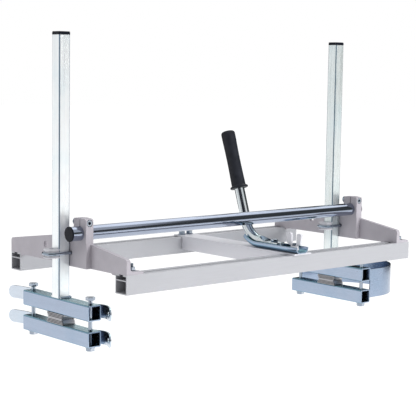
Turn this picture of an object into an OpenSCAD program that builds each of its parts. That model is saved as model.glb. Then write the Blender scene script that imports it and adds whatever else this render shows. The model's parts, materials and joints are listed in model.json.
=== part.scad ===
// Chainsaw mill: two slotted rails joined by two end brackets, a push bar,
// a cross member with an upright handle, and a bar clamp under each bracket.
// X runs along the rails, Y from the front rail to the rear rail, Z up.
// Every size below is in millimetres and measured from the rails' left end,
// the front rail's outer face and the rails' underside; place() then moves
// the whole mill so that the middle of its footprint is the origin.

/* [Rails] */
// Length of each rail
rail_len = 800; // [640:10:1200]
// Width of a rail
rail_w = 34; // [31:1:42]
// Height of a rail
rail_h = 37; // [32:1:46]
// Wall of the rail extrusion
rail_wall = 2.2; // [1.8:0.1:2.8]
// Clear distance between the two rails
rail_gap = 321; // [312:1:360]
// Width of the slot along the top of a rail
slot_w = 11; // [10.6:0.2:13]
// Thickness of the two lips beside the slot
lip_t = 3; // [2.6:0.1:4]
// Height of the channel under the lips
channel_h = 7; // [6.6:0.2:9]

/* [Push bar] */
// Diameter of the push bar
bar_d = 28; // [22:1:32]
// Wall of the push bar tube
bar_wall = 2; // [1.5:0.1:3]
// How far the bar stands out past the right bracket's tower
bar_past = 6; // [5:0.5:80]
// How far the bar stands out past the left bracket's tower
bar_out = 23; // [8:1:60]
// Distance of the bar from the front of the mill
bar_y = 132; // [126:1:140]
// Height of the bar above the rail tops
bar_rise = 65; // [60:1:76]

/* [Brackets] */
// Thickness of the bracket web
web_t = 9; // [8:0.5:12]
// Height of the web above the rail at its two ends
arm_end_h = 28.5; // [24:0.5:32]
// Rise of the arms per millimetre towards the tower
arm_slope = 0.145; // [0.1:0.005:0.17]
// How far the clamping boss stands out from the web
boss_out = 11; // [9:0.5:14]
// Distance of the boss from the front of the mill
boss_front = 111; // [100:1:112]
// Length of the boss along the bracket
boss_len = 102; // [100:1:116]
// Width of the split tower round the push bar
tower_w = 40; // [36:1:44]
// Thickness of the tower
tower_t = 17.5; // [16:0.5:22]
// Metal over the push bar in the tower
tower_over = 15.5; // [14:0.5:20]
// Width of the clamping slit
slit_w = 2; // [1.5:0.5:4]
// Length of a foot along the rail, with the web
foot_len = 42; // [38:1:48]
// Thickness of a foot at its tip
foot_t = 4; // [3:0.5:6]
// Diameter of the hole through the rear arm
arm_hole_d = 12.5; // [8:0.5:16]
// Distance of that hole from the rear end of the arm
arm_hole_in = 125; // [112:1:134]
// Height of that hole above the rail
arm_hole_rise = 29; // [22:0.5:30]
// Distance of the right bracket's foot from the right end of the rails
right_inset = 0; // [0:1:60]

/* [Posts] */
// Side of the square post tube
post_side = 25; // [22:1:28]
// Wall of the post tube
post_wall = 2; // [1.5:0.1:3]
// Length of a post
post_len = 502; // [420:2:640]
// Distance of the post axis from the front of the mill
post_y = 177; // [176:1:182]
// Diameter of the U-bolt rod
rod_d = 6; // [5:0.5:8]
// Height of the U-bolt above the rail tops
u_bolt_rise = 24.5; // [20:0.5:28]
// Distance from the post to the centre of the U-bolt's bend
bend_reach = 8.5; // [5:0.5:14]
// Height of the saddle under the U-bolt
saddle_h = 17; // [14:1:22]
// Thickness of the saddle's two flanges
flange_t = 2; // [1.5:0.5:3]

/* [Bar clamps] */
// Side of the square jaw tube
jaw_side = 30; // [28:1:34]
// Wall of the jaw tube
jaw_wall = 2.5; // [2:0.1:3.5]
// Length of a jaw
jaw_len = 220; // [200:2:250]
// Distance from the rails' underside down to the upper jaw
jaw_drop = 26; // [22:1:40]
// Height of one gripping pad
pad_h = 10; // [8:0.5:14]
// Length of a gripping pad
pad_len = 54; // [40:1:70]
// Diameter of a jaw bolt
jaw_bolt_d = 8; // [6:1:10]
// How far a jaw bolt's head stands off the upper jaw
jaw_open = 8; // [6:0.5:14]
// Distance of a jaw bolt from the end of its jaw
jaw_bolt_in = 14; // [12:1:20]
// Width across the flats of a jaw bolt's head and nut
jaw_af = 16; // [14:0.5:20]
// Height of a jaw bolt's head
jaw_head_h = 6.5; // [5:0.5:9]

/* [Guards] */
// Thickness of the guide shoes and of the nose guard
strip_t = 3; // [2:0.5:4]
// How far a shoe's rear tip turns outwards
shoe_turn = 13; // [6:1:16]
// How far the wave at a shoe's front stands out
shoe_wave = 9; // [5:1:12]
// Height of a guide shoe
shoe_h = 26; // [20:1:28]
// How far a shoe runs past the rear end of its jaw
shoe_rear = 80; // [50:1:90]
// How far a shoe runs past the front end of its jaw
shoe_front = 37; // [30:1:45]
// Height of the nose guard
guard_h = 65; // [56:1:70]
// Straight length of the nose guard's two legs
guard_leg = 30; // [16:1:60]

/* [Cross member] */
// Middle of the cross member along the rails
cross_x = 456; // [380:1:500]
// Width of the cross member and its strap
cross_w = 50; // [44:1:60]
// Height of the channel under the strap
cross_h = 28; // [24:1:31]
// Thickness of the channel and of the strap
cross_t = 3; // [2.5:0.5:4]
// Distance between the two rear bolts
cross_bolt_gap = 22; // [20:1:28]

/* [Handle] */
// Diameter of the handle tube
handle_d = 22; // [20:0.5:24]
// Wall of the handle tube
handle_wall = 1.6; // [1.2:0.1:2.5]
// Lean of the handle from the vertical, in degrees
handle_lean = 18.7; // [12:0.1:24]
// Radius of the handle's bend
handle_bend = 50; // [48:1:60]
// Distance of the bend's centre from the front of the mill
handle_y = 117; // [112:1:124]
// Diameter of the grip
grip_d = 30.5; // [28:0.5:36]
// Length of the grip
grip_len = 128; // [110:1:140]
// Distance from the bend to the lower end of the grip
grip_start = 77; // [70:1:110]
// Width of the handle's cradle
cradle_w = 35; // [32:1:40]
// Height of the cradle's round side walls
cradle_h = 13; // [11:0.5:14]

/* [Hidden] */
$fn = 48;

// Clearances
seat = 0.05;
slide_gap = 0.1;
bolt_gap = 0.3;
eps = 0.01;

// Fasteners: diameter across the flats of a hexagon and its height
m8 = 8;
m8_af = 13;
m8_h = 6.5;
m8_washer_d = 17;
m8_washer_t = 1.6;
m10 = 10;
rod_af = 10;
rod_nut_h = 5;
rod_washer_d = 12.5;
rod_washer_t = 1.6;
t_head_x = 13;
t_head_h = 5.5;
bolt_end = 3;
foot_bolt_end = 7;
jaw_bolt_end = 1;

// Main places
mill_w = 2 * rail_w + rail_gap;
rear_y = rail_w + rail_gap;
bar_z = rail_h + bar_rise;
u_bolt_z = rail_h + u_bolt_rise;
right_x = rail_len - foot_len - right_inset;
bar_x = -boss_out - bar_out;
bar_len = right_x + tower_t - boss_out + bar_past - bar_x;
bolt_x = web_t + 15;
tower_top = bar_z + bar_d / 2 + tower_over;
screw_z = bar_z + bar_d / 2 + m8 / 2 + 2.5;
tower_mid = tower_t / 2 - boss_out;
tower_front = bar_y - tower_w / 2;
post_x = -boss_out - seat - post_side / 2;
leg_gap = 0.5;
leg_off = post_side / 2 + leg_gap + rod_d / 2;
bend_x = post_x - post_side / 2 - bend_reach;
jaw_x = post_x - post_side / 2 + jaw_side / 2;
jaw_y = post_y + 2 - jaw_len / 2;
upper_z = -jaw_drop - jaw_side;
lower_z = upper_z - 2 * pad_h - jaw_side;
washer_d = 20;
washer_t = 2;
jaw_nut_z = lower_z - washer_t - m8_h;
bolt_bottom = jaw_nut_z - jaw_bolt_end;
cap_t = 6;
post_top = post_len - jaw_drop;
strap_z = rail_h + seat;
strap_top = strap_z + cross_t;
cradle_t = 2.5;
cradle_round = 10.5;
floor_flat = cradle_w - 2 * cradle_round;
tube_z = strap_top + cradle_t + handle_d / 2 + 0.2;
bend_z = tube_z + handle_bend;
bend_turn = 90 - handle_lean;
handle_x = cross_x - 4;
slot_y = rail_w / 2;
turn_past = 8;
turn_y = jaw_y + jaw_len + turn_past;
wave_y = jaw_y + 26;
wave_len = 50;
guard_r = jaw_len / 2;
guard_x = jaw_x + jaw_side / 2;
guard_end_x = right_x + guard_x + guard_leg + guard_r;
bend_out_x = bend_x - leg_off - rod_d / 2;
strap_front = -4;
cradle_front = strap_front - 2;
front_y = cradle_front;

// Moves the mill so that the middle of its footprint is the origin
module place() {
    translate([-(bend_out_x + guard_end_x) / 2, -(front_y + mill_w) / 2, -bolt_bottom])
        children();
}

// Points of an arc in the plane, from angle a0 to angle a1
function arc(x, y, r, a0, a1, n = 8) =
    [for (i = [0 : n]) let (a = a0 + (a1 - a0) * i / n) [x + r * cos(a), y + r * sin(a)]];

// Outline of the YZ plane pushed along X from x0 for a length
module along_x(x0, len) {
    translate([x0, 0, 0]) rotate([90, 0, 90]) linear_extrude(len) children();
}

// Outline of the XZ plane pushed along Y from y0 for a length
module along_y(y0, len) {
    translate([0, y0 + len, 0]) rotate([90, 0, 0]) linear_extrude(len) children();
}

// Square with round corners
module round_square(size, r) {
    translate([r, 0]) square([size[0] - 2 * r, size[1]]);
    translate([0, r]) square([size[0], size[1] - 2 * r]);
    for (x = [r, size[0] - r], y = [r, size[1] - r]) translate([x, y]) circle(r);
}

// Hollow square section with round corners, its corner at the origin
module tube_section(side, wall) {
    difference() {
        round_square([side, side], wall + 0.5);
        translate([wall, wall]) round_square([side - 2 * wall, side - 2 * wall], 0.8);
    }
}

// Hexagonal nut with a bore and chamfered corners, standing on z = 0
module nut(d, af, h) {
    difference() {
        intersection() {
            cylinder(d = af / cos(30), h = h, $fn = 6);
            union() {
                cylinder(d1 = af * 1.02, d2 = af / cos(30), h = h * 0.18);
                translate([0, 0, h * 0.18]) cylinder(d = af / cos(30), h = h * 0.64);
                translate([0, 0, h * 0.82]) cylinder(d1 = af / cos(30), d2 = af * 1.02, h = h * 0.18);
            }
        }
        translate([0, 0, -1]) cylinder(d = d + 2 * slide_gap, h = h + 2);
    }
}

// Flat washer standing on z = 0
module washer(d, od, t) {
    difference() {
        cylinder(d = od, h = t);
        translate([0, 0, -1]) cylinder(d = d + 2 * slide_gap, h = t + 2);
    }
}

// Bolt shank with a chamfered end, from z = 0 up
module shank(d, h) {
    cylinder(d = d, h = h - 0.8);
    translate([0, 0, h - 0.8]) cylinder(d1 = d, d2 = d - 1.6, h = 0.8);
}

// Section of a rail: hollow box below, channel with two lips above
module rail_section() {
    difference() {
        square([rail_w, rail_h]);
        translate([rail_wall, rail_h - lip_t - channel_h])
            square([rail_w - 2 * rail_wall, channel_h]);
        translate([(rail_w - slot_w) / 2, rail_h - lip_t - 1]) square([slot_w, lip_t + 2]);
        translate([rail_wall, rail_wall])
            square([rail_w - 2 * rail_wall, rail_h - lip_t - channel_h - 2 * rail_wall]);
    }
}

module rail(y) {
    color([0.80, 0.81, 0.83]) translate([0, y, 0]) along_x(0, rail_len) rail_section();
}

module push_bar() {
    color([0.72, 0.76, 0.84]) translate([bar_x, bar_y, bar_z]) rotate([0, 90, 0])
        difference() {
            cylinder(d = bar_d, h = bar_len);
            translate([0, 0, -1]) cylinder(d = bar_d - 2 * bar_wall, h = bar_len + 2);
        }
}

// One end cap of the push bar, its flange at x = 0 and its plug towards +X
module bar_cap() {
    flange = 2.7;
    plug = 14;
    rotate([0, 90, 0]) {
        translate([0, 0, -flange]) cylinder(d1 = bar_d - 0.6, d2 = bar_d + 1.4, h = 1);
        translate([0, 0, 1 - flange]) cylinder(d = bar_d + 1.4, h = flange - 1 - seat);
        translate([0, 0, -seat - eps]) cylinder(d = bar_d - 2 * bar_wall - 2 * slide_gap, h = plug);
    }
}

module push_bar_caps() {
    color([0.12, 0.12, 0.14]) {
        translate([bar_x, bar_y, bar_z]) bar_cap();
        translate([bar_x + bar_len, bar_y, bar_z]) mirror([1, 0, 0]) bar_cap();
    }
}

// Height of the web's top edge at a distance from the end of an arm
function arm_top(s) = rail_h + arm_end_h + arm_slope * s;

// Side outline of the whole web, with rounded upper ends and locating lugs
module web_outline() {
    r = 6;
    lug = 9;
    lug_drop = 4;
    under = 1.5;
    side = 0.5;
    y1 = rail_w + side;
    y2 = rear_y - side;
    polygon(concat(
        [[0, rail_h + seat]],
        arc(r, arm_top(r) - r, r, 180, 98),
        [[tower_front, arm_top(tower_front)],
         [tower_front + tower_w, arm_top(tower_front)],
         [tower_front + tower_w, arm_top(mill_w - tower_front - tower_w)]],
        arc(mill_w - r, arm_top(r) - r, r, 82, 0),
        [[mill_w, rail_h + seat], [y2, rail_h + seat], [y2, rail_h - lug_drop],
         [y2 - lug, rail_h - lug_drop], [y2 - lug - 3, rail_h - under],
         [y1 + lug + 3, rail_h - under], [y1 + lug, rail_h - lug_drop],
         [y1, rail_h - lug_drop], [y1, rail_h + seat]]));
}

// Side outline of the thick middle: boss below, tower above
module middle_outline() {
    r = 4;
    rear = boss_front + boss_len;
    tower_rear = tower_front + tower_w;
    foot = rail_h - 1.5;
    polygon(concat(
        [[boss_front, foot]],
        [[boss_front, arm_top(boss_front)], [tower_front, arm_top(boss_front) + 3]],
        arc(tower_front + r, tower_top - r - 1, r, 180, 100, 5),
        [[bar_y, tower_top]],
        arc(tower_rear - r, tower_top - r - 1, r, 80, 0, 5),
        arc(tower_rear + 6, arm_top(mill_w - tower_rear) + 6, 6, 180, 262, 6),
        [[rear, arm_top(mill_w - rear)], [rear, foot]]));
}

// Plan outline of the thick middle, with rounded upright edges
module middle_plan() {
    translate([-boss_out, boss_front]) round_square([tower_t, boss_len], 2);
}

// Foot that stands on a rail, from the web towards +X
module foot_outline() {
    root = foot_t + 2.5;
    r = 5;
    z = rail_h + seat;
    polygon(concat(
        [[web_t - 1, z], [foot_len, z], [foot_len, z + foot_t], [web_t + r, z + root]],
        arc(web_t + r, z + root + r, r, 270, 180, 6),
        [[web_t - 1, z + root + r]]));
}

module foot_plan(y) {
    r = 5;
    translate([web_t - 1, y]) square([foot_len - web_t + 1 - r, rail_w]);
    translate([foot_len - 2 * r, y + r]) square([2 * r, rail_w - 2 * r]);
    for (v = [y + r, y + rail_w - r]) translate([foot_len - r, v]) circle(r);
}

module bracket_body() {
    along_x(0, web_t) web_outline();
    intersection() {
        linear_extrude(tower_top + 5) middle_plan();
        along_x(-boss_out, tower_t) middle_outline();
    }
    for (y = [0, rear_y]) intersection() {
        along_y(y, rail_w) foot_outline();
        linear_extrude(rail_h + 40) foot_plan(y);
    }
}

// End bracket with the web's outer face at x = 0
module bracket() {
    head_d = 14;
    head_in = 8.5;
    color([0.64, 0.62, 0.66]) difference() {
        bracket_body();
        translate([-boss_out - 1, bar_y, bar_z]) rotate([0, 90, 0])
            cylinder(d = bar_d + 2 * seat, h = tower_t + web_t + 2, $fn = 96);
        translate([-boss_out - 1, bar_y - slit_w / 2, bar_z])
            cube([tower_t + web_t + 2, slit_w, tower_top]);
        translate([tower_mid, tower_front + tower_w + 5, screw_z]) rotate([90, 0, 0])
            cylinder(d = m8 + 2 * bolt_gap, h = tower_w + 10);
        translate([tower_mid, tower_front + head_in, screw_z]) rotate([90, 0, 0])
            cylinder(d = head_d, h = head_in + 5);
        for (s = [-1, 1]) translate([-boss_out - 1, post_y + s * leg_off, u_bolt_z])
            rotate([0, 90, 0]) {
                cylinder(d = rod_d + 2 * bolt_gap, h = boss_out + web_t + 2);
                cylinder(d = rod_d + 3, h = 2.5);
            }
        translate([-1, mill_w - arm_hole_in, rail_h + arm_hole_rise]) rotate([0, 90, 0])
            cylinder(d = arm_hole_d, h = web_t + 2);
        for (y = [slot_y, rear_y + slot_y]) translate([bolt_x, y, rail_h - 1])
            cylinder(d = m8 + 2 * bolt_gap, h = 12);
        for (y = [slot_y, rear_y + slot_y]) translate([bolt_x, y, foot_seat()])
            cylinder(d = m8_washer_d + 1, h = 30);
    }
}

// Height of the spot face under a foot's washer
function foot_seat() = rail_h + seat + foot_t + 0.4;

module at_feet() {
    for (y = [slot_y, rear_y + slot_y]) translate([bolt_x, y, 0]) children();
}

// T-bolt whose head lies in a rail's channel under the lips
module t_bolt(d, top) {
    head_z = rail_h - lip_t - t_head_h - 0.2;
    head_y = min(22, rail_w - 2 * rail_wall - 2);
    translate([-t_head_x / 2, -head_y / 2, head_z]) cube([t_head_x, head_y, t_head_h]);
    translate([0, 0, head_z + t_head_h - eps]) shank(d, top - head_z - t_head_h);
}

module foot_bolts() {
    color([0.62, 0.64, 0.66]) at_feet()
        t_bolt(m8, foot_seat() + m8_washer_t + m8_h + foot_bolt_end);
}

module foot_washers() {
    color([0.66, 0.68, 0.70]) at_feet()
        translate([0, 0, foot_seat() + seat]) washer(m8, m8_washer_d, m8_washer_t - seat);
}

module foot_nuts() {
    color([0.60, 0.62, 0.64]) at_feet()
        translate([0, 0, foot_seat() + m8_washer_t + seat]) nut(m8, m8_af, m8_h - seat);
}

// Cap screw across the tower's slit, its head in the front recess
module bar_screw() {
    head_h = 8;
    socket_af = 6;
    head_y = tower_front + 8.5 - seat;
    color([0.70, 0.74, 0.77]) difference() {
        union() {
            translate([tower_mid, head_y, screw_z]) rotate([90, 0, 0]) {
                cylinder(d = 13, h = head_h - 1);
                translate([0, 0, head_h - 1]) cylinder(d1 = 13, d2 = 11.4, h = 1);
            }
            translate([tower_mid, head_y - eps, screw_z]) rotate([-90, 0, 0])
                shank(m8, tower_w - 8.5 + m8_h + bolt_end);
        }
        translate([tower_mid, head_y - head_h + 4, screw_z]) rotate([90, 0, 0])
            cylinder(d = socket_af / cos(30), h = 10, $fn = 6);
    }
}

module bar_nut() {
    color([0.60, 0.62, 0.64]) translate([tower_mid, tower_front + tower_w + seat, screw_z])
        rotate([-90, 0, 0]) nut(m8, m8_af, m8_h);
}

// U-bolt round the post: two legs through the boss and a round bend outside
module u_bolt() {
    leg_end = web_t + rod_washer_t + rod_nut_h + bolt_end;
    color([0.74, 0.78, 0.80]) {
        for (s = [-1, 1]) translate([bend_x, post_y + s * leg_off, u_bolt_z])
            rotate([0, 90, 0]) shank(rod_d, leg_end - bend_x);
        translate([bend_x, post_y, u_bolt_z]) rotate([0, 0, 90])
            rotate_extrude(angle = 180) translate([leg_off, 0]) circle(d = rod_d);
    }
}

// Half-round plan of the saddle at a given radius
module saddle_plan(r) {
    x0 = post_x - post_side / 2 - seat;
    translate([bend_x, -r]) square([x0 - bend_x, 2 * r]);
    difference() {
        translate([bend_x, 0]) circle(r);
        translate([bend_x, -r - 1]) square(2 * r + 2);
    }
}

// Saddle between the post and the U-bolt's bend, with a groove for the rod
module saddle() {
    inner = leg_off - rod_d / 2 - seat;
    rim = 2.6;
    groove = saddle_h - 2 * flange_t;
    color([0.78, 0.79, 0.78]) translate([0, post_y, u_bolt_z]) {
        translate([0, 0, -saddle_h / 2]) linear_extrude(saddle_h)
            difference() {
                saddle_plan(inner);
                translate([4, 0]) saddle_pocket(inner - 5);
            }
        for (z = [-saddle_h / 2, groove / 2])
            translate([0, 0, z]) linear_extrude(flange_t) difference() {
                saddle_plan(inner + rim);
                saddle_plan(inner - 1);
            }
    }
}

// Pocket that lightens the saddle
module saddle_pocket(r) {
    x0 = post_x - post_side / 2 - 8;
    translate([bend_x, -r]) square([x0 - bend_x, 2 * r]);
    translate([bend_x, 0]) circle(r);
}

module at_legs() {
    for (s = [-1, 1]) translate([web_t, post_y + s * leg_off, u_bolt_z])
        rotate([0, 90, 0]) children();
}

module u_bolt_washers() {
    color([0.66, 0.68, 0.70]) at_legs()
        translate([0, 0, seat]) washer(rod_d, rod_washer_d, rod_washer_t - seat);
}

module u_bolt_nuts() {
    color([0.60, 0.62, 0.64]) at_legs()
        translate([0, 0, rod_washer_t + seat]) nut(rod_d, rod_af, rod_nut_h - seat);
}

module post() {
    color([0.84, 0.88, 0.94]) translate([post_x - post_side / 2, post_y - post_side / 2, -jaw_drop])
        linear_extrude(post_len) tube_section(post_side, post_wall);
}

module post_cap() {
    lip = 0.5;
    inside = post_side - 2 * post_wall - 2 * slide_gap;
    color([0.12, 0.12, 0.14]) translate([post_x, post_y, post_top]) {
        translate([-post_side / 2 - lip, -post_side / 2 - lip, seat])
            linear_extrude(cap_t - 1.5) round_square([post_side + 2 * lip, post_side + 2 * lip], 3);
        translate([-post_side / 2, -post_side / 2, cap_t - 1.5])
            linear_extrude(1.5) round_square([post_side, post_side], 3);
        translate([-inside / 2, -inside / 2, -12]) linear_extrude(12 + seat + 1)
            round_square([inside, inside], 0.8);
    }
}

// Fillet weld round three sides of the post's foot
module weld() {
    w = 4;
    x0 = post_x - post_side / 2;
    x1 = post_x + post_side / 2;
    z = -jaw_drop;
    color([0.80, 0.84, 0.90]) {
        for (s = [0, 1]) translate([0, post_y, 0]) mirror([0, s, 0])
            along_x(x0 + 1.5, post_side - 3)
                polygon([[post_side / 2 + seat, z], [post_side / 2 + w, z], [post_side / 2 + seat, z + w]]);
        along_y(post_y - post_side / 2 + 1.5, post_side - 3)
            polygon([[x1 + seat, z], [x1 + w, z], [x1 + seat, z + w]]);
    }
}

// Jaw tube along Y with a bolt hole near each end, its underside at z
module jaw(z) {
    color([0.66, 0.71, 0.83]) difference() {
        translate([jaw_x - jaw_side / 2, 0, z]) along_y(jaw_y, jaw_len)
            tube_section(jaw_side, jaw_wall);
        at_jaw_bolts() translate([0, 0, z - 1])
            cylinder(d = jaw_bolt_d + 2 * bolt_gap, h = jaw_side + 2);
    }
}

module at_jaw_bolts() {
    for (y = [jaw_y + jaw_bolt_in, jaw_y + jaw_len - jaw_bolt_in])
        translate([jaw_x, y, 0]) children();
}

// Section of a gripping pad: finned sides and a toothed face downwards
module pad_section() {
    w = jaw_side / 2;
    fins = 4;
    fin_gap = 2.4;
    step = pad_h / fins;
    teeth = 7;
    difference() {
        translate([-w, -pad_h]) square([2 * w, pad_h]);
        for (i = [0 : fins - 2], s = [-1, 1])
            translate([s * w, -step * (i + 0.85)]) square([2 * fin_gap, step * 0.45], center = true);
        for (i = [1 : teeth - 1]) translate([-w + 2 * w * i / teeth, -pad_h])
            polygon([[-1, -0.5], [1, -0.5], [0, 1.2]]);
    }
}

// Gripping pad hanging from z = 0, with bevelled ends
module pad() {
    bevel = 5;
    color([0.70, 0.70, 0.72]) translate([jaw_x, post_y + 2, 0]) intersection() {
        along_y(-pad_len / 2, pad_len) pad_section();
        along_x(-jaw_side, 2 * jaw_side)
            polygon([[-pad_len / 2, 1], [pad_len / 2, 1], [pad_len / 2, -pad_h * 0.35],
                [pad_len / 2 - bevel, -pad_h - 1], [-pad_len / 2 + bevel, -pad_h - 1],
                [-pad_len / 2, -pad_h * 0.35]]);
    }
}

module upper_pad() {
    translate([0, 0, upper_z]) pad();
}

module lower_pad() {
    translate([0, 0, lower_z + jaw_side]) mirror([0, 0, 1]) pad();
}

// Hexagon bolts that draw the jaws together, standing off when slack
module jaw_bolts() {
    head_z = -jaw_drop + jaw_open;
    chamfer = 0.8;
    color([0.62, 0.68, 0.74]) at_jaw_bolts() {
        translate([0, 0, head_z]) intersection() {
            cylinder(d = jaw_af / cos(30), h = jaw_head_h, $fn = 6);
            cylinder(d1 = jaw_af * 1.6, d2 = jaw_af * 0.98, h = jaw_head_h + 0.02);
        }
        translate([0, 0, bolt_bottom + chamfer])
            cylinder(d = jaw_bolt_d, h = head_z - bolt_bottom - chamfer + eps);
        translate([0, 0, bolt_bottom])
            cylinder(d1 = jaw_bolt_d - 2 * chamfer, d2 = jaw_bolt_d, h = chamfer);
    }
}

module jaw_washers() {
    color([0.66, 0.70, 0.78]) at_jaw_bolts()
        translate([0, 0, lower_z - washer_t]) washer(jaw_bolt_d, washer_d, washer_t - seat);
}

module jaw_nuts() {
    color([0.58, 0.64, 0.74]) at_jaw_bolts() translate([0, 0, jaw_nut_z])
        nut(jaw_bolt_d, jaw_af, m8_h - seat);
}

// Centre line of a guide shoe: straight along the jaw, turned outwards behind
// it and waved in front of it
function shoe_x(y) =
    guard_x + strip_t / 2 + seat
    - (y > turn_y ? shoe_turn * (1 - cos(90 * (y - turn_y) / (shoe_rear - turn_past))) : 0)
    + (y < wave_y ? shoe_wave * sin(180 * (wave_y - y) / wave_len) : 0);

// Points of the shoe's plan on one side of its centre line
function shoe_side(s, ys) = [for (y = ys)
    let (dx = (shoe_x(y + 0.5) - shoe_x(y - 0.5)), n = sqrt(1 + dx * dx))
    [shoe_x(y) + s * strip_t / 2 / n, y - s * strip_t / 2 * dx / n]];

function count_up(a, b, n) = [for (i = [0 : n]) a + (b - a) * i / n];

// Guide shoe: a wavy strip with round ends on the inner side of a jaw
module shoe(z) {
    y0 = jaw_y - shoe_front;
    y1 = jaw_y + jaw_len + shoe_rear;
    r = shoe_h / 2;
    mid = z + jaw_side / 2;
    slot_d = 7;
    slot_y0 = y0 + r;
    slot_len = 6;
    ys = concat(count_up(y0, wave_y, 16), count_up(turn_y, y1, 10));
    low = shoe_side(1, ys);
    high = shoe_side(-1, ys);
    color([0.74, 0.79, 0.86]) intersection() {
        translate([0, 0, mid - r]) linear_extrude(shoe_h)
            polygon(concat(low, [for (i = [len(high) - 1 : -1 : 0]) high[i]]));
        along_x(guard_x - 2 * shoe_turn, 3 * shoe_turn + 3 * shoe_wave) difference() {
            union() {
                translate([y0 + r, mid - r]) square([y1 - y0 - 2 * r, shoe_h]);
                translate([y0 + r, mid]) circle(r);
                translate([y1 - r, mid]) circle(r);
            }
            translate([slot_y0, mid]) circle(d = slot_d);
            translate([slot_y0 + slot_len, mid]) circle(d = slot_d);
            translate([slot_y0, mid - slot_d / 2]) square([slot_len, slot_d]);
        }
    }
}

// Plan of the nose guard: two straight legs and a half round
module guard_plan(r) {
    translate([0, -r]) square([guard_leg, 2 * r]);
    intersection() {
        translate([guard_leg, 0]) circle(r, $fn = 96);
        translate([guard_leg, -r]) square([r, 2 * r]);
    }
}

// Nose guard: a deep band round the tip of the saw's bar, fixed to the upper jaw
module nose_guard() {
    top = -jaw_drop - 4;
    gap = 0.4;
    tab = 26;
    color([0.64, 0.72, 0.84]) translate([guard_x, post_y + 2, 0]) {
        translate([0, 0, top - guard_h]) linear_extrude(guard_h) difference() {
            guard_plan(guard_r);
            translate([-1, 0]) guard_plan(guard_r - strip_t);
            translate([-1, -guard_r - 1]) square([1 + gap, 2 * guard_r + 2]);
        }
        for (s = [0, 1]) mirror([0, s, 0]) translate([0, guard_r - tab, upper_z + 2])
            cube([strip_t, tab, top - upper_z - 2]);
    }
}

module cross_channel() {
    side = 0.5;
    y0 = rail_w + side;
    len = rail_gap - 2 * side;
    z1 = strap_z - seat;
    hole = m8 + 2 * bolt_gap;
    color([0.78, 0.79, 0.82]) difference() {
        translate([cross_x - cross_w / 2, 0, z1 - cross_h]) along_y(y0, len) difference() {
            square([cross_w, cross_h]);
            translate([cross_t, -1]) square([cross_w - 2 * cross_t, cross_h - cross_t + 1]);
        }
        translate([handle_x, handle_bolt_y(), z1 - 2 * cross_t]) cylinder(d = hole, h = 3 * cross_t);
    }
}

// Place of the handle's bolt along the cross member
function handle_bolt_y() = handle_y - 40;

module cross_strap() {
    r = 2;
    y0 = strap_front;
    y1 = mill_w - 4;
    color([0.86, 0.87, 0.88]) difference() {
        translate([cross_x - cross_w / 2, y0, strap_z]) linear_extrude(cross_t)
            round_square([cross_w, y1 - y0], r);
        translate([handle_x, handle_bolt_y(), strap_z - 1])
            cylinder(d = m8 + 2 * bolt_gap, h = cross_t + 2);
        translate([handle_x, slot_y, strap_z - 1])
            cylinder(d = m10 + 2 * bolt_gap, h = cross_t + 2);
        at_cross_bolts() translate([0, 0, strap_z - 1])
            cylinder(d = m8 + 2 * bolt_gap, h = cross_t + 2);
    }
}

module at_cross_bolts() {
    for (s = [-1, 1]) translate([cross_x + s * cross_bolt_gap / 2, rear_y + slot_y, 0]) children();
}

module cross_bolts() {
    color([0.62, 0.64, 0.66]) at_cross_bolts()
        t_bolt(m8, strap_top + m8_washer_t + m8_h + bolt_end);
}

module cross_washers() {
    color([0.66, 0.68, 0.70]) at_cross_bolts()
        translate([0, 0, strap_top + seat]) washer(m8, m8_washer_d, m8_washer_t - seat);
}

module cross_nuts() {
    color([0.60, 0.62, 0.64]) at_cross_bolts()
        translate([0, 0, strap_top + m8_washer_t + seat]) nut(m8, m8_af, m8_h - seat);
}

// Revolves a profile of (radius, offset along X) about the handle's bend axis
module about_bend(turn) {
    translate([handle_x, handle_y, bend_z]) rotate([0, 90, 0])
        rotate_extrude(angle = turn, $fn = 96) children();
}

// Round-bottomed gutter: its floor at x = 0, its walls towards -X, h high
module gutter(w, h, c) {
    intersection() {
        translate([-h, -w / 2]) square([h, w]);
        union() {
            translate([-h - 1, -w / 2]) square([h + 1 - c, w]);
            translate([-h - 1, c - w / 2]) square([h + 1, w - 2 * c]);
            for (y = [c - w / 2, w / 2 - c]) translate([-c, y]) circle(c);
        }
    }
}

// Section of the cradle: a round gutter, the radius at its floor's top
module cradle_section(r) {
    translate([r, 0]) difference() {
        translate([cradle_t, 0]) gutter(cradle_w, cradle_h, cradle_round);
        gutter(cradle_w - 2 * cradle_t, cradle_h + 1, cradle_round - cradle_t);
    }
}

// Cradle: a gutter on the strap that turns up behind to follow the tube
module handle_cradle() {
    floor_r = handle_bend + handle_d / 2 + 0.2;
    turn = 42;
    len = handle_y - cradle_front;
    color([0.60, 0.70, 0.76]) difference() {
        union() {
            about_bend(turn) cradle_section(floor_r);
            translate([handle_x, cradle_front, bend_z]) rotate([0, 90, 0])
                rotate([90, 0, 0]) mirror([0, 0, 1]) linear_extrude(len) cradle_section(floor_r);
        }
        translate([handle_x, slot_y, strap_top - 1]) cylinder(d = m10 + 2 * bolt_gap, h = 10);
        translate([handle_x, handle_bolt_y(), strap_top - 1]) cylinder(d = m8 + 2 * bolt_gap, h = 10);
    }
}

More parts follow.
